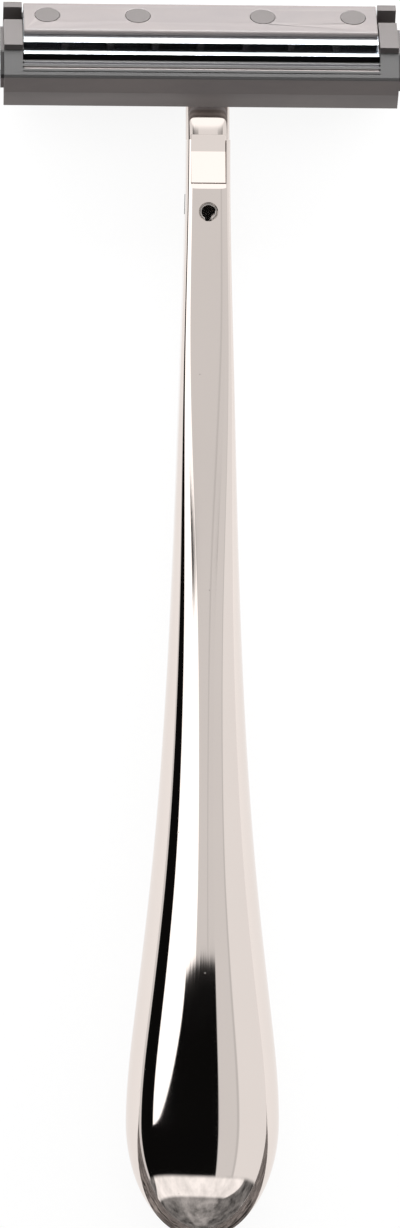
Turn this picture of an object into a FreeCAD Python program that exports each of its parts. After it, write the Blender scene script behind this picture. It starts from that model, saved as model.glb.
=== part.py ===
import FreeCAD, Part
import math
import os
import Sketcher

# A fixed-head cartridge razor: a chromed teardrop handle, a forked neck and a T-shaped rail
# that a twin-blade cartridge slides onto. It lies on its back: +X along the blades, +Y along
# the handle towards the head, +Z up, away from the surface that it rests on.
# The head is drawn in its own frame. There u runs from the back of the cap to the guard and
# v is the height above the cap's top, so most v values are negative.

SIZES = {
    # the whole razor and its handle
    "handle_length": 115.5,
    "head_reach": 14.5,
    "top_width": 4.66,
    "top_depth": 4.7,
    "top_squareness": 4.5,
    "bulb_width": 16.15,
    "bulb_depth": 11.0,
    "bulb_squareness": 2.0,
    "bulb_setback": 12.3,
    "bulb_tip": 0.07,
    "axis_height": 4.2,
    "shank_at": 0.25,
    "shank_swell": 0.10,
    "shank_rise": 0.22,
    "grip_at": 0.56,
    "grip_swell": 0.31,
    "grip_rise": 0.5,
    "flare_at": 0.765,
    "flare_swell": 0.59,
    "flare_rise": 0.81,
    "belly_at": 0.89,
    "belly_swell": 0.845,
    "belly_rise": 0.96,
    # the fork, socket, windows and pin at the top of the handle
    "shoulder_drop": 4.65,
    "cheek": 0.47,
    "stem_gap": 0.03,
    "rear_wall": 0.8,
    "front_wall": 1.0,
    "socket_depth": 8.0,
    "window_drop": 2.05,
    "window_length": 2.1,
    "window_height": 1.2,
    "pin_drop": 2.95,
    "pin_diameter": 2.0,
    "pin_wall": 0.27,
    "pin_slit": 0.7,
    "pin_recess": 0.08,
    "pin_floor": 0.45,
    "press_gap": 0.01,
    # the neck
    "neck_inset": 0.02,
    "neck_thickness": 2.4,
    "neck_reach": 2.7,
    "throat_length": 3.1,
    "throat_rise": 0.8,
    "throat_dip": 0.3,
    "flat_drop": 0.35,
    "ramp_drop": 0.8,
    "ramp_foot": 1.2,
    # the head's tilt and its rail
    "head_tilt": 52.0,
    "rail_centre": 4.8,
    "rail_width": 4.6,
    "rail_thickness": 1.0,
    "rail_inset": 1.7,
    "rail_gap": 0.1,
    "neck_slot_gap": 0.15,
    "neck_offset": 0.9,
    # the spring detent inside the neck
    "bush_diameter": 1.7,
    "bush_length": 0.8,
    "bush_gap": 0.03,
    "plunger_diameter": 1.04,
    "plunger_rise": 0.3,
    "plunger_chamfer": 0.22,
    "flange_diameter": 1.5,
    "flange_thickness": 0.3,
    "spring_wire": 0.18,
    "spring_length": 2.2,
    "spring_turns": 5.0,
    "groove_width": 1.6,
    "groove_depth": 0.35,
    # the cartridge's moulded platform
    "platform_length": 41.4,
    "end_bulge": 0.38,
    "end_wall": 1.95,
    "bed_depth": 1.2,
    "bed_front": 7.0,
    "roof_thickness": 2.0,
    "lip_thickness": 0.8,
    "lug_length": 1.0,
    "lug_rise": 0.1,
    "notch_length": 1.7,
    "notch_depth": 1.6,
    "block_end": 7.4,
    "block_drop": 0.3,
    "step_drop": 0.67,
    "guard_start": 8.3,
    "guard_drop": 1.6,
    "gap_depth": 2.7,
    "rib_width": 0.26,
    "rib_gap": 0.2,
    "rib_depth": 0.3,
    "rib_fall": 0.17,
    "nose": 10.1,
    "nose_drop": 2.6,
    "nose_height": 1.87,
    "chin": 9.5,
    "chin_drop": 6.55,
    # the posts that rivet the stack together
    "post_diameter": 2.0,
    "post_head": 2.57,
    "post_centre": 2.2,
    "post_inner": 6.57,
    "post_inset": 2.65,
    "post_gap": 0.03,
    # the blades, the spacer and the cap
    "blade_end_gap": 0.1,
    "blade_thickness": 0.1,
    "blade_back": 0.7,
    "blade_bevel": 0.35,
    "seat_edge": 7.8,
    "cap_edge": 6.5,
    "spacer_thickness": 0.5,
    "spacer_front": 4.3,
    "spacer_reach": 1.2,
    "spacer_pitch": 4.75,
    "spacer_finger": 0.7,
    "cap_end_gap": 0.15,
    "cap_front": 5.2,
    "cap_chamfer": 0.2,
}
FINGERS = 7
QUARTER_POINTS = 6
SHANK_SECTIONS = 18
SWELL_SCALE = 1.0
DOME_SECTIONS = 7
COIL_STEPS = 8

doc = FreeCAD.newDocument("cartridge_razor")
sheet = doc.addObject("Spreadsheet::Sheet", "Sizes")


class Size:
    """A value that keeps both its number and its formula on the sheet."""

    def __init__(self, number, text):
        self.number = number
        self.text = text

    def joined(self, other, sign, number):
        return Size(number, "({} {} {})".format(self.text, sign, text_of(other)))

    def __add__(self, other):
        return self.joined(other, "+", self.number + number_of(other))

    def __sub__(self, other):
        return self.joined(other, "-", self.number - number_of(other))

    def __mul__(self, other):
        return self.joined(other, "*", self.number * number_of(other))

    def __truediv__(self, other):
        return self.joined(other, "/", self.number / number_of(other))

    def __neg__(self):
        return Size(0, "0") - self


def number_of(value):
    return value.number if isinstance(value, Size) else value


def text_of(value):
    return value.text if isinstance(value, Size) else repr(value)


def of_sheet(name):
    return Size(SIZES[name], "Sizes." + name)


def sine(angle):
    return Size(math.sin(math.radians(angle.number)), "sin({})".format(angle.text))


def cosine(angle):
    return Size(math.cos(math.radians(angle.number)), "cos({})".format(angle.text))


def fill_sheet():
    for row, name in enumerate(SIZES, start=1):
        sheet.set("A{}".format(row), name)
        sheet.set("B{}".format(row), str(SIZES[name]))
        sheet.setAlias("B{}".format(row), name)
    doc.recompute()


def bind(item, **values):
    """Gives each named property its number and ties it to the sheet."""
    for name, value in values.items():
        setattr(item, name, number_of(value))
        if isinstance(value, Size):
            item.setExpression(name, value.text)


def place(item, x=0, y=0, z=0, angle=0):
    """Puts an item at x, y, z, turned about -X by angle, all tied to the sheet."""
    base = FreeCAD.Vector(number_of(x), number_of(y), number_of(z))
    turn = FreeCAD.Rotation(FreeCAD.Vector(-1, 0, 0), number_of(angle) or 0)
    item.Placement = FreeCAD.Placement(base, turn)
    for path, value in (("Base.x", x), ("Base.y", y), ("Base.z", z), ("Rotation.Angle", angle)):
        if isinstance(value, Size):
            item.setExpression(".Placement." + path, value.text)


def new_body(label):
    body = doc.addObject("PartDesign::Body", label)
    body.Label = label
    return body


def new_sketch(body, role, name, offset=None):
    """A sketch flat on one of the body's own origin planes, lifted along its normal by offset."""
    sketch = body.newObject("Sketcher::SketchObject", name)
    plane = next(item for item in body.Origin.OriginFeatures if item.Role == role)
    sketch.AttachmentSupport = [(plane, "")]
    sketch.MapMode = "FlatFace"
    if offset is not None:
        sketch.AttachmentOffset = FreeCAD.Placement(
            FreeCAD.Vector(0, 0, offset.number), FreeCAD.Rotation()
        )
        sketch.setExpression(".AttachmentOffset.Base.z", offset.text)
    return sketch


def hold(sketch, kind, geometry, point, value):
    """One distance from the sketch's origin to a point, tied to the sheet."""
    index = sketch.addConstraint(
        Sketcher.Constraint(kind, -1, 1, geometry, point, number_of(value))
    )
    if isinstance(value, Size):
        sketch.setExpression("Constraints[{}]".format(index), value.text)


def add_outline(sketch, corners):
    """Straight lines round the corners, closed, with both places of each corner tied."""
    first = sketch.GeometryCount
    count = len(corners)
    points = [FreeCAD.Vector(number_of(a), number_of(b), 0) for a, b in corners]
    for i in range(count):
        sketch.addGeometry(Part.LineSegment(points[i], points[(i + 1) % count]), False)
    for i in range(count):
        following = first + (i + 1) % count
        sketch.addConstraint(Sketcher.Constraint("Coincident", first + i, 2, following, 1))
    for i, (a, b) in enumerate(corners):
        hold(sketch, "DistanceX", first + i, 1, a)
        hold(sketch, "DistanceY", first + i, 1, b)


def add_circle(sketch, x, y, diameter):
    geometry = sketch.addGeometry(
        Part.Circle(
            FreeCAD.Vector(number_of(x), number_of(y), 0),
            FreeCAD.Vector(0, 0, 1),
            diameter.number / 2,
        ),
        False,
    )
    hold(sketch, "DistanceX", geometry, 3, x)
    hold(sketch, "DistanceY", geometry, 3, y)
    index = sketch.addConstraint(
        Sketcher.Constraint("Diameter", geometry, diameter.number)
    )
    sketch.setExpression("Constraints[{}]".format(index), diameter.text)


def add_feature(body, kind, sketch, length, midplane=True):
    """A Pad or a Pocket of the sketch, half to each side or along its normal."""
    feature = body.newObject("PartDesign::" + kind, sketch.Name + "_" + kind.lower())
    feature.Profile = sketch
    feature.Midplane = midplane
    bind(feature, Length=length)
    sketch.Visibility = False
    doc.recompute()
    return feature


def across(body, kind, name, corners, length):
    """A Pad or Pocket of a u, v outline, drawn across the head and centred on the razor."""
    sketch = new_sketch(body, "YZ_Plane", name)
    add_outline(sketch, [(-u, v) for u, v in corners])
    return add_feature(body, kind, sketch, length)


def primitive(kind, name, **values):
    item = doc.addObject("Part::" + kind, name)
    bind(item, **values)
    return item


def box_between(name, low, high):
    """A Part::Box from its low corner to its high corner."""
    box = primitive(
        "Box", name, Length=high[0] - low[0], Width=high[1] - low[1], Height=high[2] - low[2]
    )
    place(box, low[0], low[1], low[2])
    return box


def cut(label, base, *tools):
    """base less every tool, one Part::Cut after another. The last one takes the label."""
    for i, tool in enumerate(tools):
        last = i == len(tools) - 1
        item = doc.addObject("Part::Cut", label if last else "{}_cut_{}".format(label, i + 1))
        item.Base = base
        item.Tool = tool
        base = item
    base.Label = label
    return base


fill_sheet()
S = {name: of_sheet(name) for name in SIZES}

# Places that several pieces share.
overall_length = S["handle_length"] + S["head_reach"]
bed_length = S["platform_length"] - S["end_wall"] * 2
blade_length = bed_length - S["blade_end_gap"] * 2
post_outer = bed_length / 2 - S["post_inset"]
stem_width = S["top_width"] - S["cheek"] * 2 - S["stem_gap"] * 2
tilt_sin = sine(S["head_tilt"])
tilt_cos = cosine(S["head_tilt"])
head_y = overall_length / 2 - S["lug_rise"] * tilt_sin
roof = -(S["bed_depth"] + S["roof_thickness"])
rail_top = roof - S["rail_gap"]
rail_bottom = rail_top - S["rail_thickness"]
lip_top = rail_bottom - S["rail_gap"]
base = lip_top - S["lip_thickness"]
head_z = -base * tilt_cos
bulb_end = -overall_length / 2
fork_y = bulb_end + S["handle_length"]
shoulder_y = fork_y - S["shoulder_drop"]
back_z = S["axis_height"] - S["top_depth"] / 2
face_z = S["axis_height"] + S["top_depth"] / 2
floor_z = back_z + S["rear_wall"]
ceiling_z = face_z - S["front_wall"]
flat_z = face_z - S["flat_drop"]
ramp_z = flat_z - S["ramp_drop"]
pin_y = shoulder_y - S["pin_drop"]
fork_width = stem_width + S["stem_gap"] * 2
throat_z = S["axis_height"] + S["throat_rise"]


def on_razor(u, v):
    """The y and z of a point u, v of the head."""
    y = head_y - tilt_cos * u + tilt_sin * v
    z = head_z + tilt_sin * u + tilt_cos * v
    return y, z


def place_on_head(item, u=0, v=0, x=0):
    """Turns an item drawn in u, v into the head, with its own origin at u, v."""
    y, z = on_razor(u, v)
    place(item, x, y, z, S["head_tilt"])


def place_off_centre(item):
    """Moves a finished piece of the handle to the side, as the cartridge sits off its middle."""
    place(item, S["neck_offset"], 0, 0)
    return item


def handle_section(y, width, depth, height, squareness):
    """One closed superellipse across the handle, at y, as four quarters that meet in line."""
    quarters = []
    for first in range(4):
        points = []
        for i in range(QUARTER_POINTS + 1):
            angle = math.pi / 2 * (first + i / QUARTER_POINTS)
            c = round(math.cos(angle), 9)
            s = round(math.sin(angle), 9)
            x = math.copysign(abs(c) ** (2 / squareness), c) * width / 2
            z = math.copysign(abs(s) ** (2 / squareness), s) * depth / 2
            points.append(FreeCAD.Vector(x, y, height + z))
        start = math.pi / 2 * (first + 1)
        leave = FreeCAD.Vector(round(math.cos(start)), 0, round(math.sin(start)))
        arrive = FreeCAD.Vector(-leave.z, 0, leave.x)
        curve = Part.BSplineCurve()
        curve.interpolate(Points=points, InitialTangent=leave, FinalTangent=arrive)
        quarters.append(curve.toShape())
    return Part.Wire(quarters)


def handle_stations(size, top, widest):
    """Evenly spaced points of the side curve, from the fork to the bulb's widest place.

    Each is a y, the share of the whole swelling in width, and the share in depth."""
    span = widest - top
    points = [FreeCAD.Vector(top, 0, 0)]
    for part in ("shank", "grip", "flare", "belly"):
        swell = size[part + "_swell"] * SWELL_SCALE
        rise = size[part + "_rise"] * SWELL_SCALE
        points.append(FreeCAD.Vector(top + span * size[part + "_at"], swell, rise))
    points.append(FreeCAD.Vector(widest, SWELL_SCALE, SWELL_SCALE))
    curve = Part.BSplineCurve()
    along = FreeCAD.Vector(-1, 0, 0)
    curve.interpolate(Points=points, InitialTangent=along, FinalTangent=along)
    evenly = curve.discretize(SHANK_SECTIONS)
    return [(point.x, point.y / SWELL_SCALE, point.z / SWELL_SCALE) for point in evenly]


def make_handle_blank():
    """The whole outer form: a slim square shank that swells to a round teardrop bulb."""
    size = {name: getattr(sheet, name) for name in SIZES}
    end = -(size["handle_length"] + size["head_reach"]) / 2
    top = end + size["handle_length"]
    widest = end + size["bulb_setback"]
    middle = size["bulb_depth"] / 2
    wires = []
    for y, swell, rise in handle_stations(size, top, widest):
        width = size["top_width"] + (size["bulb_width"] - size["top_width"]) * swell
        depth = size["top_depth"] + (size["bulb_depth"] - size["top_depth"]) * rise
        height = size["axis_height"] + (middle - size["axis_height"]) * rise
        square = size["bulb_squareness"]
        square += (size["top_squareness"] - square) * (1 - swell) ** 3
        wires.append(handle_section(y, width, depth, height, square))
    last = math.acos(size["bulb_tip"])
    for i in range(1, DOME_SECTIONS + 1):
        angle = last * i / DOME_SECTIONS
        y = widest - size["bulb_setback"] * math.sin(angle) / math.sin(last)
        width = size["bulb_width"] * math.cos(angle)
        depth = size["bulb_depth"] * math.cos(angle)
        wires.append(handle_section(y, width, depth, middle, size["bulb_squareness"]))
    blank = doc.addObject("Part::Feature", "handle_blank")
    blank.Shape = Part.makeLoft(wires, True, False)
    return blank


def pin_cylinder(name, diameter):
    """An upright cylinder on the roll pin's axis, from the blind floor to above the handle."""
    cylinder = primitive("Cylinder", name, Radius=diameter / 2, Height=S["top_depth"] * 2)
    place(cylinder, 0, pin_y, back_z + S["pin_floor"])
    return cylinder


def window_box(name):
    """The cross slot that opens both cheeks of the handle and passes through the tang."""
    y = shoulder_y - S["window_drop"]
    half_long = S["window_length"] / 2
    half_high = S["window_height"] / 2
    return box_between(
        name,
        (-S["top_width"], y - half_long, S["axis_height"] - half_high),
        (S["top_width"], y + half_long, S["axis_height"] + half_high),
    )


def build_handle():
    """The chromed handle, with an open fork for the neck and a socket below its shoulder."""
    half = fork_width / 2
    fork = box_between(
        "fork_space",
        (-half, shoulder_y, floor_z),
        (half, fork_y + S["top_depth"], face_z + S["top_depth"]),
    )
    socket = box_between(
        "socket_space",
        (-half, shoulder_y - S["socket_depth"], floor_z),
        (half, shoulder_y + S["stem_gap"], ceiling_z),
    )
    bore = pin_cylinder("handle_pin_bore", S["pin_diameter"] + S["press_gap"] * 2)
    tools = (fork, socket, bore, window_box("handle_window"))
    return place_off_centre(cut("handle", make_handle_blank(), *tools))


def build_neck_stem():
    """The chromed neck: a thin root under the rail, a throat, and a tang that fills the fork."""
    body = new_body("neck_blank")
    half = S["neck_thickness"] / 2
    front = S["rail_centre"] + half
    back = S["rail_centre"] - half
    throat_y = fork_y + S["throat_length"]
    wide_end = fork_y + S["stem_gap"]
    step_z = (throat_z + ramp_z) / 2
    wide = [
        on_razor(back, rail_bottom),
        on_razor(front, rail_bottom),
        on_razor(front, rail_bottom - S["neck_reach"] / 2),
        (throat_y, throat_z - S["throat_dip"]),
        (wide_end, step_z),
        (wide_end, back_z),
        on_razor(back, rail_bottom - S["neck_reach"]),
    ]
    sketch = new_sketch(body, "YZ_Plane", "neck_side")
    add_outline(sketch, wide)
    add_feature(body, "Pad", sketch, S["top_width"] - S["neck_inset"] * 2)

    tang_end = shoulder_y - S["socket_depth"] + S["stem_gap"] * 4
    inside = wide_end + S["neck_thickness"] / 4
    seat_z = floor_z + S["stem_gap"]
    narrow = [
        (inside, seat_z),
        (inside, throat_z),
        (fork_y - S["ramp_foot"], ramp_z),
        (shoulder_y + S["stem_gap"] * 3, flat_z),
        (shoulder_y + S["stem_gap"] * 3, ceiling_z - S["stem_gap"]),
        (tang_end, ceiling_z - S["stem_gap"]),
        (tang_end, seat_z),
    ]
    sketch = new_sketch(body, "YZ_Plane", "tang_side")
    add_outline(sketch, narrow)
    add_feature(body, "Pad", sketch, stem_width)

    pocket_depth = detent_floor_depth() - (rail_top - rail_bottom)
    pocket = primitive(
        "Cylinder", "detent_pocket", Radius=S["bush_diameter"] / 2 + S["press_gap"],
        Height=pocket_depth + S["rail_thickness"],
    )
    place_on_head(pocket, S["rail_centre"], rail_bottom - pocket_depth)
    bore = pin_cylinder("tang_pin_bore", S["pin_diameter"] + S["press_gap"] * 2)
    return place_off_centre(cut("neck_stem", body, pocket, bore, window_box("tang_window")))


def detent_floor_depth():
    """How far the detent's pocket goes below the top of the rail."""
    return S["bush_length"] + S["flange_thickness"] + S["spring_length"] + S["press_gap"] * 3


def build_head_rail():
    """The flat rail of the T, with the bush's bore at its middle."""
    body = new_body("head_rail")
    back = S["rail_centre"] - S["rail_width"] / 2
    front = S["rail_centre"] + S["rail_width"] / 2
    corners = [(back, rail_bottom), (back, rail_top), (front, rail_top), (front, rail_bottom)]
    across(body, "Pad", "rail_section", corners, S["platform_length"] - S["rail_inset"] * 2)
    sketch = new_sketch(body, "XY_Plane", "bush_hole", rail_bottom + S["rail_thickness"] / 2)
    add_circle(sketch, 0, -S["rail_centre"], S["bush_diameter"] + S["press_gap"] * 2)
    add_feature(body, "Pocket", sketch, S["rail_thickness"] * 3)
    place_on_head(body, x=S["neck_offset"])
    return body


def build_roll_pin():
    """A rolled spring pin, pressed through the handle and the tang, its slit towards the bulb."""
    length = S["top_depth"] - S["pin_recess"] - S["pin_floor"]
    foot = back_z + S["pin_floor"]
    outer = primitive("Cylinder", "roll_pin_outer", Radius=S["pin_diameter"] / 2, Height=length)
    place(outer, 0, pin_y, foot)
    inner = primitive(
        "Cylinder", "roll_pin_inner", Radius=S["pin_diameter"] / 2 - S["pin_wall"], Height=length
    )
    place(inner, 0, pin_y, foot)
    slit = box_between(
        "roll_pin_slit",
        (-S["pin_slit"] / 2, pin_y - S["pin_diameter"], foot),
        (S["pin_slit"] / 2, pin_y, foot + length),
    )
    return place_off_centre(cut("roll_pin", outer, inner, slit))


def build_detent_bush():
    """The ring in the rail that keeps the plunger in and guides its tip."""
    body = new_body("detent_bush")
    sketch = new_sketch(body, "XY_Plane", "bush_ring", -S["bush_length"])
    add_circle(sketch, 0, 0, S["bush_diameter"])
    add_circle(sketch, 0, 0, S["plunger_diameter"] + S["bush_gap"] * 2)
    add_feature(body, "Pad", sketch, S["bush_length"], midplane=False)
    place_on_head(body, S["rail_centre"], rail_top, S["neck_offset"])
    return body


def build_detent_plunger():
    """A flanged plunger whose chamfered tip stands above the rail."""
    body = new_body("detent_plunger")
    sketch = new_sketch(body, "XZ_Plane", "plunger_half")
    tip = S["plunger_diameter"] / 2 - S["plunger_chamfer"]
    shoulder = -S["bush_length"] - S["press_gap"]
    foot = shoulder - S["flange_thickness"]
    corners = [
        (0, foot),
        (S["flange_diameter"] / 2, foot),
        (S["flange_diameter"] / 2, shoulder),
        (S["plunger_diameter"] / 2, shoulder),
        (S["plunger_diameter"] / 2, S["plunger_rise"] - S["plunger_chamfer"]),
        (tip, S["plunger_rise"]),
        (0, S["plunger_rise"]),
    ]
    add_outline(sketch, corners)
    turned = body.newObject("PartDesign::Revolution", "plunger_turned")
    turned.Profile = sketch
    turned.ReferenceAxis = (sketch, ["V_Axis"])
    turned.Angle = 360
    place_on_head(body, S["rail_centre"], rail_top, S["neck_offset"])
    return body


def build_detent_spring():
    """A small compression spring between the pocket's floor and the plunger's flange."""
    wire = sheet.spring_wire
    mean = (sheet.flange_diameter - wire) / 2
    rise = sheet.spring_length - wire
    count = round(sheet.spring_turns * COIL_STEPS)
    points = []
    for i in range(count + 1):
        angle = 2 * math.pi * i / COIL_STEPS
        points.append(
            FreeCAD.Vector(mean * math.cos(angle), mean * math.sin(angle), rise * i / count)
        )
    line = Part.makePolygon(points)
    section = Part.Circle(points[0], points[1] - points[0], wire / 2)
    spring = doc.addObject("Part::Feature", "detent_spring")
    spring.Shape = line.makePipeShell([Part.Wire([section.toShape()])], True, False, 1)
    spring.Label = "detent_spring"
    floor = rail_top - detent_floor_depth() + S["press_gap"] + S["spring_wire"] / 2
    place_on_head(spring, S["rail_centre"], floor, S["neck_offset"])
    return spring


def end_corners():
    """The outline of the platform's end walls, from the back of the base round the nose."""
    lug = S["lug_length"]
    notch_end = lug + S["notch_length"]
    nose_top = -S["nose_drop"]
    slot = S["neck_thickness"] / 2 + S["neck_slot_gap"]
    return [
        (0, base),
        (0, S["lug_rise"]),
        (lug, S["lug_rise"]),
        (lug, -S["notch_depth"]),
        (notch_end, -S["notch_depth"]),
        (notch_end, -S["block_drop"]),
        (S["block_end"], -S["block_drop"]),
        (S["block_end"], -(S["block_drop"] + S["step_drop"])),
        (S["nose"] - S["rib_gap"], nose_top + S["rib_gap"]),
        (S["nose"], nose_top),
        (S["nose"], nose_top - S["nose_height"]),
        (S["chin"], -S["chin_drop"]),
        (S["rail_centre"] + slot + S["lip_thickness"], base),
    ]


def bed_corners():
    """What is cut away between the end walls: the blade bed, the rinse gap and the ribs."""
    over = S["lug_rise"] + 1
    behind = Size(0, "0") - 1
    corners = [
        (behind, over),
        (behind, -S["bed_depth"]),
        (S["bed_front"], -S["bed_depth"]),
        (S["bed_front"], -S["gap_depth"]),
        (S["guard_start"], -S["gap_depth"]),
    ]
    u = S["guard_start"]
    top = -S["guard_drop"]
    while (u + S["rib_width"]).number < (S["nose"] - S["rib_width"]).number:
        corners.append((u, top))
        u = u + S["rib_width"]
        corners.append((u, top))
        corners.append((u, top - S["rib_depth"]))
        u = u + S["rib_gap"]
        top = top - S["rib_fall"]
        corners.append((u, top - S["rib_depth"] + S["rib_fall"]))
    corners.append((u, top))
    corners.append((S["nose"] + 1, top))
    corners.append((S["nose"] + 1, over))
    return corners


def channel_corners():
    """The T-shaped way for the rail and neck, with a groove in its roof for the plunger."""
    mid = S["rail_centre"]
    half = S["rail_width"] / 2 + S["rail_gap"]
    slot = S["neck_thickness"] / 2 + S["neck_slot_gap"]
    groove = S["groove_width"] / 2
    left = [
        (mid - slot, base - 1),
        (mid - slot, lip_top),
        (mid - half, lip_top),
        (mid - half, roof),
        (mid - groove, roof),
        (mid - groove, roof + S["groove_depth"]),
    ]
    right = [(mid + (mid - u), v) for u, v in reversed(left)]
    return left + right


def build_blade_platform():
    """The moulded platform: end walls, blade bed, guard ribs, rail channel and four posts."""
    body = new_body("blade_platform")
    across(body, "Pad", "end_section", end_corners(), S["platform_length"])
    bulge = [
        (S["lug_length"] + S["notch_length"], -S["bed_depth"]),
        (S["block_end"], -S["bed_depth"]),
        (S["nose"] - S["rib_gap"] * 4, -S["nose_drop"] - S["rib_gap"]),
        (S["nose"] - S["rib_gap"] * 4, -S["nose_drop"] - S["nose_height"]),
        (S["lug_length"] + S["notch_length"], base + S["lip_thickness"]),
    ]
    across(body, "Pad", "end_bulges", bulge, S["platform_length"] + S["end_bulge"] * 2)
    across(body, "Pocket", "blade_bed", bed_corners(), bed_length)
    across(body, "Pocket", "rail_channel", channel_corners(), S["platform_length"] * 2)
    places = post_places()
    shank = new_sketch(body, "XY_Plane", "post_shanks", -S["bed_depth"])
    for x in places:
        add_circle(shank, x, -S["post_centre"], S["post_diameter"])
    stack = S["blade_thickness"] * 2 + S["spacer_thickness"]
    add_feature(body, "Pad", shank, stack + S["post_gap"], midplane=False)
    heads = new_sketch(body, "XY_Plane", "post_heads", -S["bed_depth"] + stack + S["post_gap"])
    for x in places:
        add_circle(heads, x, -S["post_centre"], S["post_head"])
    cap_thickness = S["bed_depth"] - stack
    add_feature(body, "Pad", heads, cap_thickness - S["post_gap"], midplane=False)
    place_on_head(body)
    return body


def post_places():
    """Where the four posts stand along the blades."""
    return [-post_outer, -S["post_inner"], S["post_inner"], post_outer]


def cut_post_holes(body, name, height, diameter):
    """Four round holes through a plate of the stack, at the height of its middle."""
    sketch = new_sketch(body, "XY_Plane", name, height)
    for x in post_places():
        add_circle(sketch, x, -S["post_centre"], diameter)
    add_feature(body, "Pocket", sketch, S["bed_depth"] * 2)


def build_blade(label, edge, bottom):
    """One blade: a thin strip ground to an edge along its front."""
    body = new_body(label)
    top = bottom + S["blade_thickness"]
    corners = [
        (S["blade_back"], bottom),
        (S["blade_back"], top),
        (edge - S["blade_bevel"], top),
        (edge, bottom + S["blade_thickness"] / 2),
        (edge - S["blade_bevel"], bottom),
    ]
    across(body, "Pad", label + "_section", corners, blade_length)
    hole = S["post_diameter"] + S["post_gap"] * 2
    cut_post_holes(body, label + "_holes", bottom + S["blade_thickness"] / 2, hole)
    place_on_head(body)
    return body


def build_blade_spacer():
    """The bar that parts the two blades, with fingers that leave rinse slots between them."""
    body = new_body("blade_spacer")
    bottom = -S["bed_depth"] + S["blade_thickness"]
    top = bottom + S["spacer_thickness"]
    corners = [
        (S["blade_back"], bottom),
        (S["blade_back"], top),
        (S["spacer_front"], top),
        (S["spacer_front"], bottom),
    ]
    across(body, "Pad", "spacer_section", corners, blade_length)
    fingers = new_sketch(body, "XY_Plane", "spacer_fingers", bottom)
    half = S["spacer_finger"] / 2
    near = -S["spacer_front"] + S["spacer_reach"] / 2
    far = -S["spacer_front"] - S["spacer_reach"]
    for i in range(FINGERS):
        x = S["spacer_pitch"] * (i - (FINGERS - 1) / 2)
        add_outline(fingers, [(x - half, near), (x - half, far), (x + half, far), (x + half, near)])
    add_feature(body, "Pad", fingers, S["spacer_thickness"], midplane=False)
    hole = S["post_diameter"] + S["post_gap"] * 2
    cut_post_holes(body, "spacer_holes", bottom + S["spacer_thickness"] / 2, hole)
    place_on_head(body)
    return body


def build_cartridge_cap():
    """The flat cap over the stack, chamfered along its front, holed for the post heads."""
    body = new_body("cartridge_cap")
    bottom = -S["bed_depth"] + S["blade_thickness"] * 2 + S["spacer_thickness"]
    zero = Size(0, "0")
    corners = [
        (zero, bottom),
        (zero, zero),
        (S["cap_front"] - S["cap_chamfer"], zero),
        (S["cap_front"], zero - S["cap_chamfer"]),
        (S["cap_front"], bottom),
    ]
    across(body, "Pad", "cap_section", corners, bed_length - S["cap_end_gap"] * 2)
    cut_post_holes(body, "cap_holes", bottom / 2, S["post_head"] + S["post_gap"] * 2)
    place_on_head(body)
    return body


def build_all():
    seat_bottom = -S["bed_depth"]
    cap_blade_bottom = seat_bottom + S["blade_thickness"] + S["spacer_thickness"]
    return [
        build_handle(),
        build_neck_stem(),
        build_head_rail(),
        build_roll_pin(),
        build_detent_bush(),
        build_detent_plunger(),
        build_detent_spring(),
        build_blade_platform(),
        build_blade("seat_blade", S["seat_edge"], seat_bottom),
        build_blade_spacer(),
        build_blade("cap_blade", S["cap_edge"], cap_blade_bottom),
        build_cartridge_cap(),
    ]


def write_parts(pieces):
    """Checks every object and every sub-part's shape, and then writes one file for each."""
    doc.recompute()
    for item in doc.Objects:
        bad = [state for state in item.State if state in ("Invalid", "Error")]
        if bad:
            raise RuntimeError("{} is {}".format(item.Name, bad))
    for piece in pieces:
        if piece.Shape.isNull() or not piece.Shape.isValid():
            raise RuntimeError("{} has no valid shape".format(piece.Label))
        if len(piece.Shape.Solids) != 1:
            raise RuntimeError("{} has {} solids".format(piece.Label, len(piece.Shape.Solids)))
    os.makedirs("parts", exist_ok=True)
    for piece in pieces:
        piece.Shape.exportStep("parts/{}.step".format(piece.Label))
        box = piece.Shape.BoundBox
        print(
            "{:16s} volume {:9.3f}  x {:7.2f} {:7.2f}  y {:7.2f} {:7.2f}  z {:6.2f} {:6.2f}".format(
                piece.Label, piece.Shape.Volume, box.XMin, box.XMax, box.YMin, box.YMax,
                box.ZMin, box.ZMax,
            )
        )


write_parts(build_all())
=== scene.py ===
"""A cartridge razor on its back: chrome drop handle, neck, moulded head, two blades and a pressed-on cap.

The head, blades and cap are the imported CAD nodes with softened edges. The handle and the neck are built
here as smooth lofts, because a mirror finish shows every facet.
"""

from __future__ import annotations

import logging
import math
from dataclasses import dataclass, field
from enum import Enum
from typing import Sequence

import bmesh
import bpy
import numpy as np
from mathutils import Matrix, Vector


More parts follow.
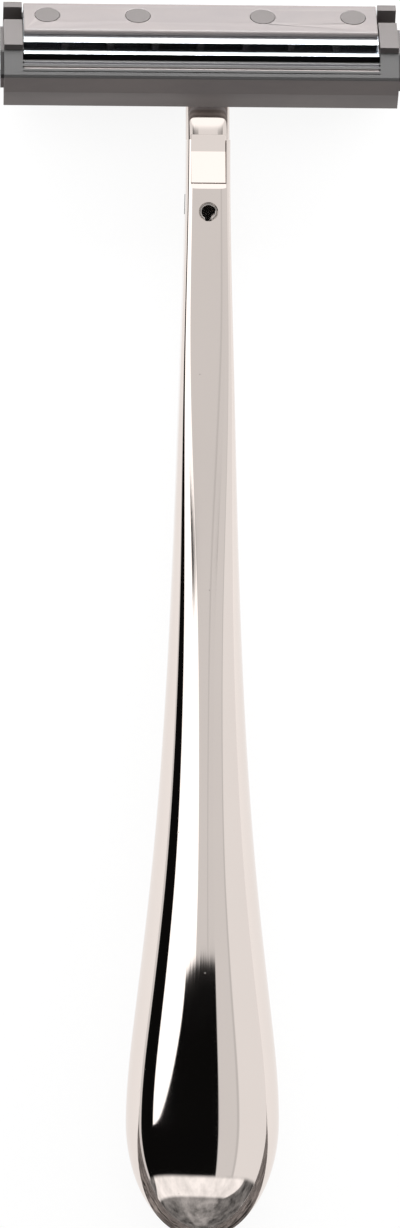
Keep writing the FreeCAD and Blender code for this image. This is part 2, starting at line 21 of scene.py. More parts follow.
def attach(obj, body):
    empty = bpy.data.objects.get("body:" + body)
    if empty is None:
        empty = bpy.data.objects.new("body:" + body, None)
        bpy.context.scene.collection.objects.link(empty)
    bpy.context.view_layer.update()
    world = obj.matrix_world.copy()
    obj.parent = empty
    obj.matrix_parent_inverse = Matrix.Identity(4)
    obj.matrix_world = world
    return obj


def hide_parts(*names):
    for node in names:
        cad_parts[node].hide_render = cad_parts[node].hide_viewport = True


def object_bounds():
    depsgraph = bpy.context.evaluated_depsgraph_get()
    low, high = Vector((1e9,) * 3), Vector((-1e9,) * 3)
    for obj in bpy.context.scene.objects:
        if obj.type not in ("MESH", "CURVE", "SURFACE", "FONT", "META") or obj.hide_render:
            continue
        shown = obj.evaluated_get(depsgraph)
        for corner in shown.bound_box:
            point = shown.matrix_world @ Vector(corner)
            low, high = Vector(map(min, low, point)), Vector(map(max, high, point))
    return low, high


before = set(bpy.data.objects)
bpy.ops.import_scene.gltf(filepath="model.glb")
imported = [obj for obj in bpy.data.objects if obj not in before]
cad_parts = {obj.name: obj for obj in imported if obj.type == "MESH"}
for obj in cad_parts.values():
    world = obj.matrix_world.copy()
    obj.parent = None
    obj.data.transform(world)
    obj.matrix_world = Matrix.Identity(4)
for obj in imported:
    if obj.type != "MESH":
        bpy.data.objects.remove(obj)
CAD_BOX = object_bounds()

MM = 0.001
# How far the cartridge's top leans back from the floor, in degrees.
HEAD_TILT = 52.0
# The back edge of the cartridge's tilted top, as (y, z).
HEAD_CORNER = (64.921 * MM, 3.2014 * MM)
# How far a cutter reaches past the metal that it cuts.
CLEAR = 4 * MM
# Corners closer than this are one corner.
SAME_POINT = 0.002 * MM
# Edges that turn by more than this, in degrees, are rounded.
ROUNDED_FROM = 32.0
# Faces that meet at more than this, in degrees, are shaded apart.
SHADED_APART_FROM = 4.0
Point = tuple[float, float]
LOG = logging.getLogger("cartridge_razor")


class Body(Enum):
    """The bodies of the frame that new pieces ride on."""

    HANDLE = "handle"


class Slot(Enum):
    """The record's material slot for chrome; no piece here is given it."""

    CHROME = "chrome_plate"


class Part(Enum):
    """The nodes of the frame."""

    HANDLE = "handle"
    NECK = "neck_stem"
    RAIL = "head_rail"
    PIN = "roll_pin"
    BUSH = "detent_bush"
    PLUNGER = "detent_plunger"
    SPRING = "detent_spring"
    PLATFORM = "blade_platform"
    CAP = "cartridge_cap"
    SEAT_BLADE = "seat_blade"
    CAP_BLADE = "cap_blade"
    SPACER = "blade_spacer"


def linear(code: str) -> tuple[float, float, float, float]:
    """Turns an sRGB hex colour into a linear one.

    Args:
        code: six hex digits, such as "8A8381".

    Returns:
        Linear red, green, blue and an alpha of 1.
    """
    parts = []
    for i in (0, 2, 4):
        value = int(code[i : i + 2], 16) / 255
        parts.append(value / 12.92 if value <= 0.04045 else ((value + 0.055) / 1.055) ** 2.4)
    return (*parts, 1.0)


def add_node(
    tree: bpy.types.NodeTree, kind: str, sockets: dict | None = None, **settings: object
) -> bpy.types.Node:
    """Adds one node to a tree.

    Args:
        tree: the node tree that gets it.
        kind: the node's type name.
        sockets: for each input, by name or number, a value or the output that feeds it.
        **settings: the node's own properties.

    Returns:
        The new node.
    """
    node = tree.nodes.new(kind)
    for name, value in settings.items():
        setattr(node, name, value)
    for key, value in (sockets or {}).items():
        if isinstance(value, bpy.types.NodeSocket):
            tree.links.new(value, node.inputs[key])
        else:
            node.inputs[key].default_value = value
    return node


def new_material(name: str) -> tuple[bpy.types.Material, bpy.types.NodeTree, bpy.types.Node]:
    """Starts a material with an empty tree and its output.

    Args:
        name: the material's name.

    Returns:
        The material, its node tree and the output node.
    """
    material = bpy.data.materials.new(name)
    material.use_nodes = True
    tree = material.node_tree
    tree.nodes.clear()
    return material, tree, add_node(tree, "ShaderNodeOutputMaterial")


def level_curve(at: Sequence[float], values: Sequence[float], wanted: Sequence[float]) -> list[float]:
    """Joins values with one smooth curve that is level at both ends.

    Its curvature has no steps, so a mirror finish reflects without kinks.

    Args:
        at: where the values are, in rising order.
        values: the values there.
        wanted: where the curve is read.

    Returns:
        The curve's value at each wanted place.
    """
    x = np.array(at, float)
    v = np.array(values, float)
    gap = np.diff(x)
    rise = np.diff(v) / gap
    count = len(x)
    matrix = np.eye(count)
    right = np.zeros(count)
    for i in range(1, count - 1):
        matrix[i, i - 1] = 1 / gap[i - 1]
        matrix[i, i] = 2 * (1 / gap[i - 1] + 1 / gap[i])
        matrix[i, i + 1] = 1 / gap[i]
        right[i] = 3 * (rise[i - 1] / gap[i - 1] + rise[i] / gap[i])
    slope = np.linalg.solve(matrix, right)
    found = []
    for place in wanted:
        i = int(np.clip(np.searchsorted(x, place) - 1, 0, count - 2))
        t = (place - x[i]) / gap[i]
        start = v[i] * (1 + 2 * t) * (1 - t) ** 2 + slope[i] * gap[i] * t * (1 - t) ** 2
        end = v[i + 1] * t * t * (3 - 2 * t) + slope[i + 1] * gap[i] * t * t * (t - 1)
        found.append(float(start + end))
    return found


def free_curve(at: Sequence[float], values: Sequence[float], wanted: Sequence[float]) -> list[float]:
    """Joins values with a smooth curve that keeps the slope of its first and last span.

    Args:
        at: where the values are, in rising order.
        values: the values there.
        wanted: where the curve is read.

    Returns:
        The curve's value at each wanted place.
    """
    first = (values[1] - values[0]) / (at[1] - at[0])
    last = (values[-1] - values[-2]) / (at[-1] - at[-2])
    span = at[-1] - at[0]

    def trend(place: float) -> float:
        """A parabola with those two end slopes."""
        t = place - at[0]
        return first * t + (last - first) * t * t / (2 * span)

    rest = [value - trend(place) for place, value in zip(at, values)]
    return [value + trend(place) for place, value in zip(wanted, level_curve(at, rest, wanted))]


def loft(name: str, rings: Sequence[Sequence[Vector]], tip: Vector | None = None) -> bpy.types.Object:
    """Skins closed rings of equal count into one watertight mesh.

    Args:
        name: the object's name.
        rings: the rings in order, each a list of points.
        tip: a last point that closes the end in place of a flat face.

    Returns:
        The new object, smooth shaded.
    """
    shape = bmesh.new()
    rows = [[shape.verts.new(point) for point in ring] for ring in rings]
    count = len(rows[0])
    for first, second in zip(rows, rows[1:]):
        for i in range(count):
            j = (i + 1) % count
            shape.faces.new((first[i], first[j], second[j], second[i]))
    shape.faces.new(rows[0][::-1])
    if tip is None:
        shape.faces.new(rows[-1])
    else:
        pole = shape.verts.new(tip)
        for i in range(count):
            shape.faces.new((rows[-1][i], rows[-1][(i + 1) % count], pole))
    return finish_mesh(name, shape)


def rectangle(start: float, stop: float, low: float, high: float) -> list[Point]:
    """The corners, as (y, z), of a box seen from the side."""
    return [(start, low), (stop, low), (stop, high), (start, high)]


def prism(name: str, side: Sequence[Point], left: float, right: float) -> bpy.types.Object:
    """Stretches a side outline across the razor.

    Args:
        name: the object's name.
        side: the outline's corners as (y, z).
        left: the lowest x.
        right: the highest x.

    Returns:
        The new object.
    """
    shape = bmesh.new()
    near = [shape.verts.new((left, y, z)) for y, z in side]
    far = [shape.verts.new((right, y, z)) for y, z in side]
    shape.faces.new(near)
    shape.faces.new(far[::-1])
    for i in range(len(side)):
        j = (i + 1) % len(side)
        shape.faces.new((near[i], far[i], far[j], near[j]))
    return finish_mesh(name, shape)


def upright_rod(name: str, centre: Vector, radius: float, length: float) -> bpy.types.Object:
    """Makes the round cutter of an upright bore.

    Args:
        name: the object's name.
        centre: the rod's middle.
        radius: its radius.
        length: its height.

    Returns:
        The new object.
    """
    shape = bmesh.new()
    place = Matrix.Translation(centre)
    bmesh.ops.create_cone(
        shape, cap_ends=True, segments=64, radius1=radius, radius2=radius, depth=length, matrix=place
    )
    return finish_mesh(name, shape)


def finish_mesh(name: str, shape: bmesh.types.BMesh) -> bpy.types.Object:
    """Turns a bmesh into a smooth-shaded object in the scene.

    Args:
        name: the object's name.
        shape: the bmesh, which is freed.

    Returns:
        The new object.
    """
    bmesh.ops.recalc_face_normals(shape, faces=shape.faces)
    mesh = bpy.data.meshes.new(name)
    shape.to_mesh(mesh)
    shape.free()
    mesh.shade_smooth()
    item = bpy.data.objects.new(name, mesh)
    bpy.context.scene.collection.objects.link(item)
    return item


def cut(item: bpy.types.Object, tools: Sequence[bpy.types.Object]) -> None:
    """Cuts the tools out of an object and removes them.

    Args:
        item: the object that is cut.
        tools: the cutters.
    """
    for tool in tools:
        step = item.modifiers.new("cut", "BOOLEAN")
        step.operation = "DIFFERENCE"
        step.solver = "EXACT"
        step.object = tool
    bake(item)
    for tool in tools:
        bpy.data.objects.remove(tool)


def bake(item: bpy.types.Object) -> None:
    """Applies an object's modifiers to its mesh."""
    bpy.context.view_layer.update()
    graph = bpy.context.evaluated_depsgraph_get()
    mesh = bpy.data.meshes.new_from_object(item.evaluated_get(graph))
    item.modifiers.clear()
    old = item.data
    item.data = mesh
    bpy.data.meshes.remove(old)
    mesh.name = item.name


def crease(item: bpy.types.Object, degrees: float) -> None:
    """Keeps edges sharper than an angle crisp, and the rest smooth."""
    item.data.shade_smooth()
    item.data.set_sharp_from_angle(angle=math.radians(degrees))


def soften(item: bpy.types.Object, radius: float, segments: int = 2) -> None:
    """Rounds the hard edges of a carried-over node with modifiers only.

    Args:
        item: the node's object.
        radius: the width of the rounding.
        segments: how many steps it has.
    """
    weld = item.modifiers.new("weld", "WELD")
    weld.merge_threshold = SAME_POINT
    edge = item.modifiers.new("moulded_edges", "BEVEL")
    edge.width = radius
    edge.segments = segments
    edge.limit_method = "ANGLE"
    edge.angle_limit = math.radians(ROUNDED_FROM)
    edge.use_clamp_overlap = True
    parting = item.modifiers.new("face_edges", "EDGE_SPLIT")
    parting.split_angle = math.radians(SHADED_APART_FROM)
    flat = item.modifiers.new("flat_faces", "WEIGHTED_NORMAL")
    flat.mode = "FACE_AREA"
    flat.weight = 100
    flat.keep_sharp = False
    item.data.shade_smooth()


def paint(item: bpy.types.Object, material: bpy.types.Material) -> None:
    """Puts one material in every material slot of an object."""
    if not item.data.materials:
        item.data.materials.append(material)
    for i in range(len(item.data.materials)):
        item.data.materials[i] = material


def dress(part: Part, material: bpy.types.Material, edge: float) -> bpy.types.Object:
    """Gives a carried-over node its material and its rounded edges.

    Args:
        part: the node.
        material: its finish.
        edge: the width of the rounding, or 0 for none.

    Returns:
        The node's object.
    """
    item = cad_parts[part.value]
    if edge:
        soften(item, edge)
    paint(item, material)
    return item


def band(
    tree: bpy.types.NodeTree,
    value: bpy.types.NodeSocket,
    centre: float,
    half: float,
    soft: float,
    **settings: object,
) -> bpy.types.NodeSocket:
    """Masks the stretch of a value that lies about a centre.

    Args:
        tree: the node tree.
        value: the value.
        centre: the stretch's middle.
        half: half its width.
        soft: how far its ends fade either way.
        **settings: properties of the node that fades them.

    Returns:
        The mask, 1 inside and 0 outside.
    """
    away = add_node(tree, "ShaderNodeMath", {0: value, 1: centre}, operation="SUBTRACT").outputs[0]
    size = add_node(tree, "ShaderNodeMath", {0: away}, operation="ABSOLUTE").outputs[0]
    fade = {"Value": size, "From Min": half - soft, "From Max": half + soft, "To Min": 1.0, "To Max": 0.0}
    return add_node(tree, "ShaderNodeMapRange", fade, **settings).outputs["Result"]


@dataclass(frozen=True)
class ChromePlate:
    """Bright nickel and chromium plate on a polished casting.

    The eye sees a neutral mirror with long soft waves from hand polishing, and here and there a pit.
    """

    name: str = "polished_chrome_plate"
    metal: str = "E9DFD9"
    hazed: str = "E2D8D2"
    polish: float = 0.025
    haze: float = 0.06
    # Hand polishing leaves waves about a centimetre long.
    wave: float = 11 * MM
    wave_height: float = 0.0025 * MM
    # Pits in plate are about 0.02 mm across. They are drawn eight times as wide, to show at all.
    pit_spacing: float = 2.4 * MM
    pit_share: float = 0.035
    pit_depth: float = 0.01 * MM

    def material(self) -> bpy.types.Material:
        """Builds the node material."""
        material, tree, output = new_material(self.name)
        place = add_node(tree, "ShaderNodeTexCoord").outputs["Object"]
        film = add_node(
            tree, "ShaderNodeTexNoise", {"Vector": place, "Scale": 0.5 / self.wave, "Detail": 4.0}
        ).outputs["Fac"]
        tint = add_node(
            tree,
            "ShaderNodeMix",
            {"Factor": film, "A": linear(self.metal), "B": linear(self.hazed)},
            data_type="RGBA",
        ).outputs["Result"]
        rough = add_node(
            tree,
            "ShaderNodeMapRange",
            {"Value": film, "From Min": 0.35, "From Max": 0.75, "To Min": self.polish, "To Max": self.haze},
        ).outputs["Result"]
        waves = add_node(
            tree, "ShaderNodeTexNoise", {"Vector": place, "Scale": 1 / self.wave, "Detail": 1.0}
        ).outputs["Fac"]
        swell = add_node(
            tree, "ShaderNodeBump", {"Height": waves, "Strength": 1.0, "Distance": self.wave_height}
        ).outputs["Normal"]
        cells = add_node(
            tree, "ShaderNodeTexVoronoi", {"Vector": place, "Scale": 1 / self.pit_spacing}
        ).outputs["Distance"]
        pit = add_node(
            tree,
            "ShaderNodeMapRange",
            {"Value": cells, "From Min": 0.0, "From Max": self.pit_share, "To Min": 0.0, "To Max": 1.0},
        ).outputs["Result"]
        pitted = add_node(
            tree,
            "ShaderNodeBump",
            {"Height": pit, "Strength": 0.35, "Distance": self.pit_depth, "Normal": swell},
        ).outputs["Normal"]
        shader = add_node(
            tree,
            "ShaderNodeBsdfPrincipled",
            {"Base Color": tint, "Metallic": 1.0, "Roughness": rough, "Normal": pitted},
        )
        tree.links.new(shader.outputs["BSDF"], output.inputs["Surface"])
        return material


@dataclass(frozen=True)
class PaintedLightZone:
    """A strip of a moulding laid over in a colour by place: painted shade where a facet lies in shadow, or a
    painted highlight along a rib.

    start and stop are measured from the cap's back edge towards the guard, along a line turned up by tilt.
    """

    start: float
    stop: float
    # The strip's colour: a painted shade or a painted highlight, not the plastic's own colour.
    colour: str
    tilt: float = HEAD_TILT
    half_length: float = 30 * MM
    soft: float = 0.04 * MM


@dataclass(frozen=True)
class MouldedPlastic:
    """Injection-moulded polystyrene from a spark-eroded tool.

    The eye sees a satin grey with a fine grain, cloudy flow marks and edges rubbed a little paler. Strips of
    painted shade and painted highlight can be laid over it by place.
    """

    name: str
    colour: str
    cloud: str
    rubbed: str
    roughness: float = 0.42
    # Strips of painted shade and painted highlight, laid over the colour by place.
    painted_light_zones: tuple[PaintedLightZone, ...] = ()
    # Spark erosion leaves a grain of about 0.03 mm. It is drawn four times as coarse, so that it shows.
    grain: float = 0.12 * MM
    grain_height: float = 0.006 * MM
    # Flow marks are as wide as the walls that the plastic ran through, and are drawn out along the head.
    flow: float = 4.5 * MM
    flow_stretch: tuple[float, float, float] = (0.35, 1.0, 1.0)
    index: float = 1.59

    def material(self) -> bpy.types.Material:
        """Builds the node material."""
        material, tree, output = new_material(self.name)
        place = add_node(tree, "ShaderNodeTexCoord").outputs["Object"]
        stretch = add_node(
            tree, "ShaderNodeMapping", {"Vector": place, "Scale": self.flow_stretch}
        ).outputs["Vector"]
        clouds = add_node(
            tree,
            "ShaderNodeTexNoise",
            {"Vector": stretch, "Scale": 1 / self.flow, "Detail": 5.0, "Roughness": 0.6, "Distortion": 0.8},
        ).outputs["Fac"]
        share = add_node(
            tree, "ShaderNodeMapRange", {"Value": clouds, "From Min": 0.38, "From Max": 0.66}
        ).outputs["Result"]
        body = add_node(
            tree,
            "ShaderNodeMix",
            {"Factor": share, "A": linear(self.colour), "B": linear(self.cloud)},
            data_type="RGBA",
        ).outputs["Result"]
        edge = add_node(tree, "ShaderNodeNewGeometry").outputs["Pointiness"]
        worn = add_node(
            tree, "ShaderNodeMapRange", {"Value": edge, "From Min": 0.52, "From Max": 0.62, "To Max": 0.55}
        ).outputs["Result"]
        tint = add_node(
            tree,
            "ShaderNodeMix",
            {"Factor": worn, "A": body, "B": linear(self.rubbed)},
            data_type="RGBA",
        ).outputs["Result"]
        # Lays the strips of painted shade and painted highlight over the plastic's colour.
        for zone in self.painted_light_zones:
            tint = self.lay_painted_light(tree, place, zone, tint)
        grain = add_node(
            tree, "ShaderNodeTexNoise", {"Vector": place, "Scale": 1 / self.grain, "Detail": 2.0}
        ).outputs["Fac"]
        skin = add_node(
            tree, "ShaderNodeBump", {"Height": grain, "Strength": 0.5, "Distance": self.grain_height}
        ).outputs["Normal"]
        rough = add_node(
            tree,
            "ShaderNodeMapRange",
            {"Value": clouds, "To Min": self.roughness - 0.08, "To Max": self.roughness + 0.1},
        ).outputs["Result"]
        shader = add_node(
            tree,
            "ShaderNodeBsdfPrincipled",
            {"Base Color": tint, "Roughness": rough, "Normal": skin, "IOR": self.index},
        )
        tree.links.new(shader.outputs["BSDF"], output.inputs["Surface"])
        return material

    def lay_painted_light(
        self, tree: bpy.types.NodeTree, place: bpy.types.NodeSocket, zone: PaintedLightZone, tint: bpy.types.NodeSocket
    ) -> bpy.types.NodeSocket:
        """Lays one strip of painted shade or painted highlight over the rest.

        Args:
            tree: the material's tree.
            place: the object coordinates.
            zone: the strip of painted shade or painted highlight.
            tint: the colour so far.

        Returns:
            The colour with the painted shade or painted highlight in it.
        """
        tilt = math.radians(zone.tilt)
        depth = add_node(
            tree,
            "ShaderNodeVectorMath",
            {0: place, 1: (0.0, -math.cos(tilt), math.sin(tilt))},
            operation="DOT_PRODUCT",
        ).outputs["Value"]
        origin = math.sin(tilt) * HEAD_CORNER[1] - math.cos(tilt) * HEAD_CORNER[0]
        sideways = add_node(tree, "ShaderNodeSeparateXYZ", {0: place}).outputs["X"]
        middle = origin + (zone.start + zone.stop) / 2
        strip = band(tree, depth, middle, (zone.stop - zone.start) / 2, zone.soft)
        span = band(tree, sideways, 0.0, zone.half_length, zone.soft)
        mask = add_node(tree, "ShaderNodeMath", {0: strip, 1: span}, operation="MULTIPLY").outputs[0]
        return add_node(
            tree,
            "ShaderNodeMix",
            {"Factor": mask, "A": tint, "B": linear(zone.colour)},
            data_type="RGBA",
        ).outputs["Result"]


@dataclass(frozen=True)
class WorkedMetal:
    """Plain metal with the marks of the tool that worked it.

    The eye sees a grey sheen drawn out along the marks: grinding lines on a blade, rolling lines on strip,
    and on drawn wire, which turns every way, a fine mottle.
    """

    name: str
    colour: str
    shade: str
    roughness: float
    # The grit leaves lines of 0.01 to 0.02 mm. They are drawn a few times as wide, so that they show.
    mark: float = 0.06 * MM
    mark_height: float = 0.002 * MM
    lay: tuple[float, float, float] = (0.04, 1.0, 1.0)
    anisotropy: float = 0.5

    def material(self) -> bpy.types.Material:
        """Builds the node material."""
        material, tree, output = new_material(self.name)
        place = add_node(tree, "ShaderNodeTexCoord").outputs["Object"]
        along = add_node(
            tree, "ShaderNodeMapping", {"Vector": place, "Scale": self.lay}
        ).outputs["Vector"]
        marks = add_node(
            tree, "ShaderNodeTexNoise", {"Vector": along, "Scale": 1 / self.mark, "Detail": 3.0}
        ).outputs["Fac"]
        tint = add_node(
            tree,
            "ShaderNodeMix",
            {"Factor": marks, "A": linear(self.colour), "B": linear(self.shade)},
            data_type="RGBA",
        ).outputs["Result"]
        rough = add_node(
            tree,
            "ShaderNodeMapRange",
            {"Value": marks, "To Min": self.roughness * 0.7, "To Max": self.roughness * 1.3},
        ).outputs["Result"]
        lines = add_node(
            tree, "ShaderNodeBump", {"Height": marks, "Strength": 0.6, "Distance": self.mark_height}
        ).outputs["Normal"]
        shader = add_node(
            tree,
            "ShaderNodeBsdfPrincipled",
            {
                "Base Color": tint,
                "Metallic": 1.0,
                "Roughness": rough,
                "Anisotropic": self.anisotropy,
                "Normal": lines,
            },
        )
        tree.links.new(shader.outputs["BSDF"], output.inputs["Surface"])
        return material


@dataclass(frozen=True)
class OpalSheet:
    """The white opal sheet that the razor lies on, lit from below so that shadows almost vanish."""

    name: str = "backlit_opal_sheet"
    colour: str = "5C5C5C"
    fibre: str = "565656"
    # Diffusing fibres are under 0.1 mm wide. They are drawn far coarser, so that they show as faint clouds.
    fibre_size: float = 0.8 * MM
    glow: float = 0.89

    def material(self) -> bpy.types.Material:
        """Builds the node material."""
        material, tree, output = new_material(self.name)
        place = add_node(tree, "ShaderNodeTexCoord").outputs["Object"]
        noise = add_node(
            tree, "ShaderNodeTexNoise", {"Vector": place, "Scale": 1 / self.fibre_size}
        ).outputs["Fac"]
        tint = add_node(
            tree,
            "ShaderNodeMix",
            {"Factor": noise, "A": linear(self.colour), "B": linear(self.fibre)},
            data_type="RGBA",
        ).outputs["Result"]
        shader = add_node(
            tree,
            "ShaderNodeBsdfPrincipled",
            {
                "Base Color": tint,
                "Roughness": 0.9,
                "Emission Color": linear("FFFFFF"),
                "Emission Strength": self.glow,
            },
        )
        tree.links.new(shader.outputs["BSDF"], output.inputs["Surface"])
        return material


@dataclass(frozen=True)
class CloudedCard:
    """Grey card, rubbed and clouded, that the plate mirrors as a dim room past the bulb's end."""

    name: str = "clouded_grey_card"
    dark: str = "2B2827"
    pale: str = "B4ADAA"
    cloud: float = 5 * MM

    def material(self) -> bpy.types.Material:
        """Builds the node material."""
        material, tree, output = new_material(self.name)
        place = add_node(tree, "ShaderNodeTexCoord").outputs["Object"]
        noise = add_node(
            tree,
            "ShaderNodeTexNoise",
            {"Vector": place, "Scale": 1 / self.cloud, "Detail": 5.0, "Distortion": 1.2},
        ).outputs["Fac"]
        share = add_node(
            tree, "ShaderNodeMapRange", {"Value": noise, "From Min": 0.4, "From Max": 0.68}
        ).outputs["Result"]
        tint = add_node(
            tree,
            "ShaderNodeMix",
            {"Factor": share, "A": linear(self.dark), "B": linear(self.pale)},
            data_type="RGBA",
        ).outputs["Result"]
        shader = add_node(tree, "ShaderNodeBsdfPrincipled", {"Base Color": tint, "Roughness": 0.9})
        tree.links.new(shader.outputs["BSDF"], output.inputs["Surface"])
        return material


@dataclass
class Finishes:
    """Every finish of the razor, made once."""

    chrome: bpy.types.Material = field(default_factory=lambda: ChromePlate().material())
    guard: bpy.types.Material = field(
        default_factory=lambda: MouldedPlastic(
            "moulded_guard_plastic",
            colour="68615F",
            cloud="5E5857",
            rubbed="7C7573",
            roughness=0.45,
            painted_light_zones=(
                # Painted shade: a dark strip and a near-black strip across the platform's lower facets and
                # end walls, where they face away from the light.
                PaintedLightZone(-2.0 * MM, 5.27 * MM, "403B3A", tilt=0.0),
                PaintedLightZone(5.27 * MM, 8.3 * MM, "0F0D0D", tilt=0.0),
                # Painted highlights: two pale lines along the guard's ribs, where their tops catch the
                # light.
                PaintedLightZone(8.54 * MM, 8.78 * MM, "8C8B8E", half_length=18.6 * MM),
                PaintedLightZone(9.03 * MM, 9.25 * MM, "8E8785", half_length=18.6 * MM),
            ),
        ).material()
    )
    cap: bpy.types.Material = field(
        default_factory=lambda: MouldedPlastic(
            "moulded_cap_plastic", colour="5E5857", cloud="565151", rubbed="736D6C", roughness=0.42
        ).material()
    )
    blade: bpy.types.Material = field(
        default_factory=lambda: WorkedMetal(
            "ground_blade_steel", colour="F2F5F8", shade="E2E9F0", roughness=0.1
        ).material()
    )
    spring: bpy.types.Material = field(
        default_factory=lambda: WorkedMetal(
            "drawn_spring_steel", colour="A7A29B", shade="7F7B76", roughness=0.32, lay=(1.0, 1.0, 1.0)
        ).material()
    )
    pin: bpy.types.Material = field(
        default_factory=lambda: WorkedMetal(
            "plated_roll_pin", colour="E0D8D2", shade="D2CAC4", roughness=0.16, lay=(1.0, 1.0, 0.1)
        ).material()
    )
    spacer: bpy.types.Material = field(
        default_factory=lambda: WorkedMetal(
            "rolled_spacer_strip", colour="6E6866", shade="4E4947", roughness=0.45, mark=0.1 * MM
        ).material()
    )


@dataclass
class Handle:
    """The cast, polished and plated handle: a slim square shank that swells to a drop.

    side is the middle's place across the razor. fork, widest and end are places along it. swells and rises
    give, at each of stations from fork to widest, how far the width and the depth have grown, and squares
    gives how square the section is at each of square_stations.
    """

    side: float = 0.9 * MM
    fork: float = 50.5 * MM
    widest: float = -52.7 * MM
    end: float = -65.0 * MM
    top_width: float = 4.66 * MM
    top_depth: float = 4.7 * MM
    axis: float = 4.2 * MM
    bulb_width: float = 16.15 * MM
    bulb_depth: float = 11.0 * MM
    stations: tuple[float, ...] = (0.0, 0.25, 0.56, 0.765, 0.89, 1.0)
    swells: tuple[float, ...] = (0.0, 0.10, 0.31, 0.59, 0.845, 1.0)
    rises: tuple[float, ...] = (0.0, 0.22, 0.5, 0.81, 0.96, 1.0)
    square_stations: tuple[float, ...] = (0.0, 0.17, 0.27, 0.37, 0.58, 0.76, 1.0)
    squares: tuple[float, ...] = (7.5, 7.0, 5.0, 3.4, 2.2, 2.0, 2.0)
    shoulder: float = 45.85 * MM
    chamfer: float = 0.6 * MM
    chamfer_slope: float = 26.0
    cheek: float = 0.47 * MM
    floor: float = 2.65 * MM
    ceiling: float = 5.55 * MM
    socket: float = 8.0 * MM
    pin: float = 42.9 * MM
    bore: float = 1.01 * MM
    bore_floor: float = 2.3 * MM
    window_centre: float = 43.8 * MM
    window_length: float = 2.1 * MM
    window_height: float = 1.2 * MM
    rings: int = 170
    dome_rings: int = 44
    sides: int = 160
    overlap: float = 0.1 * MM
    past_shoulder: float = 0.3 * MM
    slope_height: float = 2 * MM
    bore_reach: float = 10 * MM
    sharp_edge: float = 24.0

    def section(self, y: float, width: float, depth: float, centre: float, square: float) -> list[Vector]:
        """One closed cross section.

        Args:
            y: its place along the razor.
            width: its full width.
            depth: its full depth.
            centre: the height of its middle.
            square: 2 for an ellipse, and more for flatter faces and tighter corners.

        Returns:
            Its points in order.
        """
        points = []
        for i in range(self.sides):
            angle = 2 * math.pi * (i + 0.5) / self.sides
            c = math.cos(angle)
            s = math.sin(angle)
            x = math.copysign(abs(c) ** (2 / square), c) * width / 2
            z = math.copysign(abs(s) ** (2 / square), s) * depth / 2
            points.append(Vector((self.side + x, y, centre + z)))
        return points

    def blank(self) -> bpy.types.Object:
        """Lofts the whole outer form, with the round end closed at its pole."""
        at = [i / (self.rings - 1) for i in range(self.rings)]
        swell = level_curve(self.stations, self.swells, at)
        rise = level_curve(self.stations, self.rises, at)
        square = level_curve(self.square_stations, self.squares, at)
        middle = self.bulb_depth / 2
        rings = []
        for i, share in enumerate(at):
            rings.append(
                self.section(
                    self.fork + (self.widest - self.fork) * share,
                    self.top_width + (self.bulb_width - self.top_width) * swell[i],
                    self.top_depth + (self.bulb_depth - self.top_depth) * rise[i],
                    self.axis + (middle - self.axis) * rise[i],
                    max(2.0, square[i]),
                )
            )
        for i in range(1, self.dome_rings):
            angle = math.pi / 2 * i / self.dome_rings
            y = self.widest + (self.end - self.widest) * math.sin(angle)
            wide = self.bulb_width * math.cos(angle)
            deep = self.bulb_depth * math.cos(angle)
            rings.append(self.section(y, wide, deep, middle, 2.0))
        return loft("plated_handle", rings, Vector((self.side, self.end, middle)))

    def cutters(self) -> list[bpy.types.Object]:
        """The fork, the socket below its shoulder, the cross window and the pin's bore."""
        face = self.axis + self.top_depth / 2
        half = self.top_width / 2 - self.cheek
        inner = (self.side - half, self.side + half)
        fork = prism(
            "fork_cutter",
            rectangle(self.shoulder, self.fork + CLEAR, self.floor, face + CLEAR),
            *inner,
        )
        socket = prism(
            "socket_cutter",
            rectangle(self.shoulder - self.socket, self.shoulder + self.overlap, self.floor, self.ceiling),
            *inner,
        )
        lip = face + self.overlap
        start = self.shoulder - self.chamfer
        stop = self.shoulder + self.past_shoulder
        fall = math.tan(math.radians(self.chamfer_slope)) * (stop - start)
        top = lip + self.slope_height
        ramp = [(start, lip), (stop, lip - fall), (stop, top), (start, top)]
        slope = prism("shoulder_cutter", ramp, *inner)
        window = prism(
            "window_cutter",
            rectangle(
                self.window_centre - self.window_length / 2,
                self.window_centre + self.window_length / 2,
                self.axis - self.window_height / 2,
                self.axis + self.window_height / 2,
            ),
            self.side - self.top_width,
            self.side + self.top_width,
        )
        place = Vector((self.side, self.pin, self.bore_floor + self.bore_reach / 2))
        bore = upright_rod("bore_cutter", place, self.bore, self.bore_reach)
        return [fork, socket, slope, window, bore]

    def build(self, finishes: Finishes) -> list[bpy.types.Object]:
        """Builds, cuts and plates the handle.

        Args:
            finishes: the razor's materials.

        Returns:
            The pieces made.
        """
        handle = self.blank()
        cut(handle, self.cutters())
        crease(handle, self.sharp_edge)
        paint(handle, finishes.chrome)
        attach(handle, Body.HANDLE.value)
        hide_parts(Part.HANDLE.value)
        return [handle]


